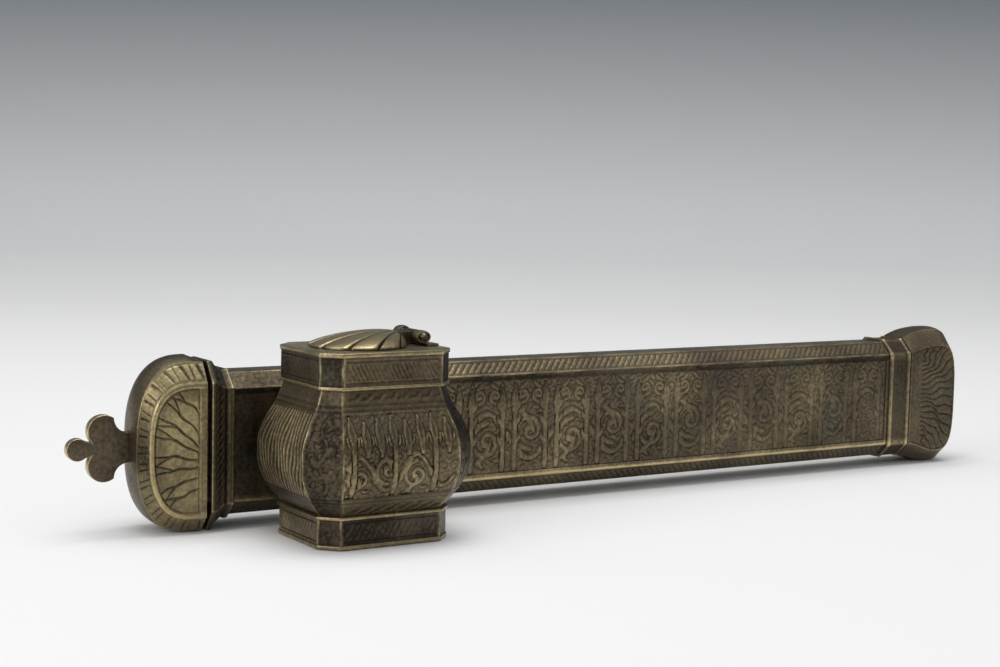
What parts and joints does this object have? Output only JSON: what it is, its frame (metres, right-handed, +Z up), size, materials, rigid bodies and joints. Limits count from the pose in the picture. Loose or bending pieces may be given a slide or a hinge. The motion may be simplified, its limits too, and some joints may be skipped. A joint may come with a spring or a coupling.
{
  "type": "pen box with inkwell",
  "caption": "Flat eight-sided brass pen case with a hinged flared end lid, a lobed thumb-piece and a bellied eight-sided inkwell with a hinged shell lid fixed to its front.",
  "frame": {"origin": "middle of the inkwell's underside, where the part stands", "axes": "+X along the case from its lid to its foot, +Y from the inkwell back to the case, +Z up"},
  "size_m": [0.2836, 0.0577, 0.0498],
  "materials": {
    "case_brass": "aged, engraved",
    "moulding_brass": "aged, worn bright on the ridges",
    "inner_brass": "dark patina",
    "lid_brass": "aged, engraved",
    "thumb_brass": "dark, worn bright on the edges",
    "hinge_brass": "aged with some verdigris",
    "rivet_brass": "worn",
    "inkwell_brass": "aged, engraved",
    "shell_brass": "aged, worn bright on the ribs"
  },
  "bodies": {
    "case": {"case_tube": "case_brass", "mouth_collar": "moulding_brass", "mouth_sleeve": "inner_brass", "foot_collar": "moulding_brass", "foot_front_plate": "case_brass", "foot_band": "case_brass", "foot_back_plate": "case_brass", "case_hinge_leaf": "hinge_brass", "case_leaf_rivets": "rivet_brass", "lid_hinge_pin": "rivet_brass", "inkwell_saddle": "inner_brass", "inkwell_rivets": "rivet_brass", "inkwell_floor": "moulding_brass", "inkwell_plinth": "inkwell_brass", "inkwell_lower_moulding": "moulding_brass", "inkwell_belly": "inkwell_brass", "inkwell_upper_moulding": "moulding_brass", "inkwell_neck": "inkwell_brass", "inkwell_top_plate": "moulding_brass", "shell_hinge_plate": "hinge_brass", "shell_plate_rivets": "rivet_brass", "shell_hinge_pin": "rivet_brass"},
    "lid": {"lid_front_plate": "lid_brass", "lid_band": "lid_brass", "lid_back_plate": "lid_brass", "thumb_piece": "thumb_brass", "lid_hinge_leaf": "hinge_brass", "lid_leaf_rivets": "rivet_brass"},
    "inkwell_lid": {"shell_tongue": "hinge_brass", "shell_lid": "shell_brass"}
  },
  "joints": [
    {"name": "lid_hinge", "type": "hinge", "parent": "case", "child": "lid", "pos_m": [-0.03152, 0.0365, 0.0205], "axis": [0, 0, -1], "range_deg": [-3.2, 115]},
    {"name": "shell_lid_hinge", "type": "hinge", "parent": "case", "child": "inkwell_lid", "pos_m": [0.0126, 0, 0.04775], "axis": [0, 1, 0], "range_deg": [0, 105]}
  ]
}
